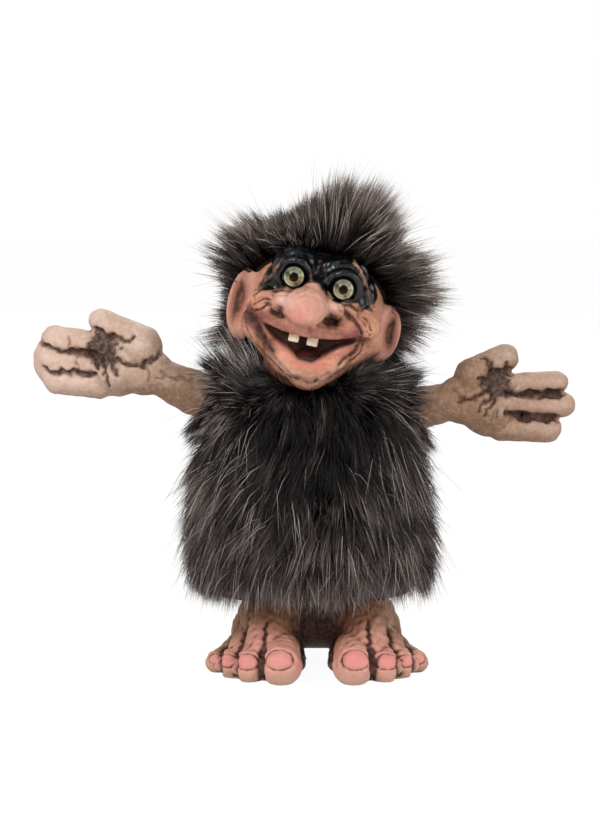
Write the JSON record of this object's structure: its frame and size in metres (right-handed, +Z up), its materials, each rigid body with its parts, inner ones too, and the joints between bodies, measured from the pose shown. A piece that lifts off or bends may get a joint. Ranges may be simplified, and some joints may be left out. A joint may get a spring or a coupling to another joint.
{
  "type": "folk troll figure",
  "caption": "Standing troll ornament with a cast head, arms and feet, a fur coat and a bristling fur wig, whose head and arms turn.",
  "frame": {"origin": "on the floor, under the middle of the figure's box", "axes": "+Z up, +X to the viewer's right along the spread arms, the face looks along -Y"},
  "size_m": [0.1904, 0.0879, 0.1714],
  "materials": {
    "body_casting": "raw cast, matt",
    "cast_skin": "matt painted casting with a dark wash",
    "face_skin": "painted casting, satin, black round the eyes",
    "coat_fur": "long grey-brown pile with black roots",
    "wig_fur": "long dark pile with lighter tips",
    "eye_glass": "polished clear glass",
    "eye_paint": "painted iris, gloss",
    "tooth_enamel": "off-white, satin",
    "tongue_skin": "dark red, satin",
    "plug_wood": "sawn, unfinished",
    "dowel_wood": "turned, unfinished",
    "fastener_steel": "zinc plated"
  },
  "bodies": {
    "body": {"torso_shell": "body_casting", "torso_plug": "plug_wood", "left_leg": "cast_skin", "right_leg": "cast_skin", "left_leg_dowel": "dowel_wood", "right_leg_dowel": "dowel_wood", "coat_front": "coat_fur", "coat_back": "coat_fur"},
    "head": {"head_shell": "face_skin", "head_pate": "body_casting", "wig_pelt": "wig_fur", "left_eye_glass": "eye_glass", "left_eye_disc": "eye_paint", "right_eye_glass": "eye_glass", "right_eye_disc": "eye_paint", "left_tooth": "tooth_enamel", "right_tooth": "tooth_enamel", "tongue": "tongue_skin", "neck_bolt": "fastener_steel", "neck_washer": "fastener_steel", "neck_nut": "fastener_steel"},
    "left_arm": {"left_arm_casting": "cast_skin", "left_shoulder_stud": "fastener_steel", "left_shoulder_washer": "fastener_steel", "left_shoulder_nut": "fastener_steel"},
    "right_arm": {"right_arm_casting": "cast_skin", "right_shoulder_stud": "fastener_steel", "right_shoulder_washer": "fastener_steel", "right_shoulder_nut": "fastener_steel"}
  },
  "joints": [
    {"name": "neck_turn", "type": "hinge", "parent": "body", "child": "head", "pos_m": [0.002, 0, 0.1], "axis": [0, 0, 1], "range_deg": [-25, 25]},
    {"name": "left_shoulder_turn", "type": "hinge", "parent": "body", "child": "left_arm", "pos_m": [-0.026, 0, 0.0912], "axis": [-0.9397, 0, 0.342], "range_deg": [-60, 60]},
    {"name": "right_shoulder_turn", "type": "hinge", "parent": "body", "child": "right_arm", "pos_m": [0.03, 0, 0.0881], "axis": [0.9744, 0, 0.225], "range_deg": [-60, 60]}
  ]
}
